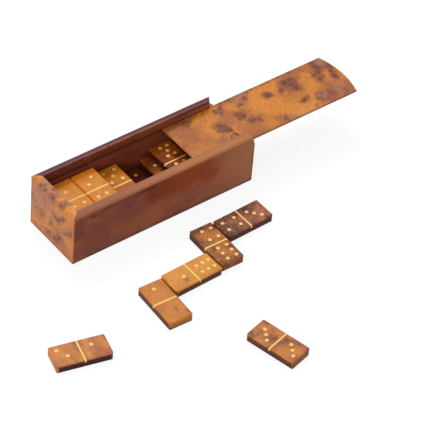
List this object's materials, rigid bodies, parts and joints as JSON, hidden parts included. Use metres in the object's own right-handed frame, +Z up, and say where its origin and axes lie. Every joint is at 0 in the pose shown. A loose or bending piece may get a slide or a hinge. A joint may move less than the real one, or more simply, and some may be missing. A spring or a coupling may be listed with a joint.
{
  "type": "domino storage box",
  "caption": "Long wooden box with a bowed lid that slides in grooves between two rounded rails, holding stacked wooden dominoes with pale inlaid pips and dividing lines.",
  "frame": {"origin": "middle of the box's underside, on the table", "axes": "+X along the box, from its closed end towards the end where the lid slides out; +Y across it towards the back side; +Z up"},
  "size_m": [0.3579, 0.2368, 0.0495],
  "materials": {
    "burl_wood": "orange-brown burl with dark eyes, satin lacquer",
    "side_wood": "dark reddish-brown straight grain, satin lacquer",
    "base_wood": "plain brown wood, oiled",
    "tile_wood": "brown to orange burl, polished, with worn edges",
    "inlay_wood": "pale yellow inlay wood, flush and polished"
  },
  "bodies": {
    "box": {"base_board": "base_wood", "front_side": "side_wood", "back_side": "side_wood", "closed_end": "burl_wood", "open_end": "burl_wood", "tile_6_0": "tile_wood", "inlay_6_0": "inlay_wood", "tile_3_2": "tile_wood", "inlay_3_2": "inlay_wood", "tile_5_0": "tile_wood", "inlay_5_0": "inlay_wood", "tile_4_0": "tile_wood", "inlay_4_0": "inlay_wood", "tile_1_1": "tile_wood", "inlay_1_1": "inlay_wood", "tile_2_2": "tile_wood", "inlay_2_2": "inlay_wood", "tile_3_1": "tile_wood", "inlay_3_1": "inlay_wood", "tile_5_3": "tile_wood", "inlay_5_3": "inlay_wood", "tile_5_4": "tile_wood", "inlay_5_4": "inlay_wood"},
    "lid": {"sliding_lid": "burl_wood"},
    "tile_6_6": {"tile_6_6": "tile_wood", "inlay_6_6": "inlay_wood"},
    "tile_5_5": {"tile_5_5": "tile_wood", "inlay_5_5": "inlay_wood"},
    "tile_3_0": {"tile_3_0": "tile_wood", "inlay_3_0": "inlay_wood"},
    "tile_4_1": {"tile_4_1": "tile_wood", "inlay_4_1": "inlay_wood"},
    "tile_6_5": {"tile_6_5": "tile_wood", "inlay_6_5": "inlay_wood"},
    "tile_2_0": {"tile_2_0": "tile_wood", "inlay_2_0": "inlay_wood"},
    "tile_6_3": {"tile_6_3": "tile_wood", "inlay_6_3": "inlay_wood"},
    "tile_4_2": {"tile_4_2": "tile_wood", "inlay_4_2": "inlay_wood"},
    "tile_4_4": {"tile_4_4": "tile_wood", "inlay_4_4": "inlay_wood"},
    "tile_6_2": {"tile_6_2": "tile_wood", "inlay_6_2": "inlay_wood"},
    "tile_5_1": {"tile_5_1": "tile_wood", "inlay_5_1": "inlay_wood"},
    "tile_5_2": {"tile_5_2": "tile_wood", "inlay_5_2": "inlay_wood"},
    "tile_4_3": {"tile_4_3": "tile_wood", "inlay_4_3": "inlay_wood"},
    "tile_6_4": {"tile_6_4": "tile_wood", "inlay_6_4": "inlay_wood"},
    "tile_6_1": {"tile_6_1": "tile_wood", "inlay_6_1": "inlay_wood"},
    "tile_1_0": {"tile_1_0": "tile_wood", "inlay_1_0": "inlay_wood"},
    "tile_2_1": {"tile_2_1": "tile_wood", "inlay_2_1": "inlay_wood"},
    "tile_3_3": {"tile_3_3": "tile_wood", "inlay_3_3": "inlay_wood"}
  },
  "joints": [
    {"name": "lid_slide", "type": "slide", "parent": "box", "child": "lid", "axis": [1, 0, 0], "range_m": [-0.1139, 0.0538]},
    {"name": "lift_6_6", "type": "slide", "parent": "box", "child": "tile_6_6", "axis": [0, 0, 1], "range_m": [0, 0.0485]},
    {"name": "lift_5_5", "type": "slide", "parent": "tile_6_6", "child": "tile_5_5", "axis": [0, 0, 1], "range_m": [0, 0.0412]},
    {"name": "lift_3_0", "type": "slide", "parent": "tile_5_5", "child": "tile_3_0", "axis": [0, 0, 1], "range_m": [0, 0.0339]},
    {"name": "lift_4_1", "type": "slide", "parent": "tile_3_0", "child": "tile_4_1", "axis": [0, 0, 1], "range_m": [0, 0.0266]},
    {"name": "lift_6_5", "type": "slide", "parent": "box", "child": "tile_6_5", "axis": [0, 0, 1], "range_m": [0, 0.0485]},
    {"name": "lift_2_0", "type": "slide", "parent": "tile_6_5", "child": "tile_2_0", "axis": [0, 0, 1], "range_m": [0, 0.0412]},
    {"name": "lift_6_3", "type": "slide", "parent": "tile_2_0", "child": "tile_6_3", "axis": [0, 0, 1], "range_m": [0, 0.0339]},
    {"name": "lift_4_2", "type": "slide", "parent": "tile_6_3", "child": "tile_4_2", "axis": [0, 0, 1], "range_m": [0, 0.0266]},
    {"name": "lift_4_4", "type": "slide", "parent": "box", "child": "tile_4_4", "axis": [0, 0, 1], "range_m": [0, 0.0485]},
    {"name": "lift_6_2", "type": "slide", "parent": "tile_4_4", "child": "tile_6_2", "axis": [0, 0, 1], "range_m": [0, 0.0412]},
    {"name": "lift_5_1", "type": "slide", "parent": "tile_6_2", "child": "tile_5_1", "axis": [0, 0, 1], "range_m": [0, 0.0339]},
    {"name": "lift_5_2", "type": "slide", "parent": "box", "child": "tile_5_2", "axis": [0, 0, 1], "range_m": [0, 0.0485]},
    {"name": "lift_4_3", "type": "slide", "parent": "box", "child": "tile_4_3", "axis": [0, 0, 1], "range_m": [0, 0.06]},
    {"name": "lift_6_4", "type": "slide", "parent": "box", "child": "tile_6_4", "axis": [0, 0, 1], "range_m": [0, 0.06]},
    {"name": "lift_6_1", "type": "slide", "parent": "box", "child": "tile_6_1", "axis": [0, 0, 1], "range_m": [0, 0.06]},
    {"name": "lift_1_0", "type": "slide", "parent": "box", "child": "tile_1_0", "axis": [0, 0, 1], "range_m": [0, 0.06]},
    {"name": "lift_2_1", "type": "slide", "parent": "box", "child": "tile_2_1", "axis": [0, 0, 1], "range_m": [0, 0.06]},
    {"name": "lift_3_3", "type": "slide", "parent": "box", "child": "tile_3_3", "axis": [0, 0, 1], "range_m": [0, 0.06]}
  ]
}
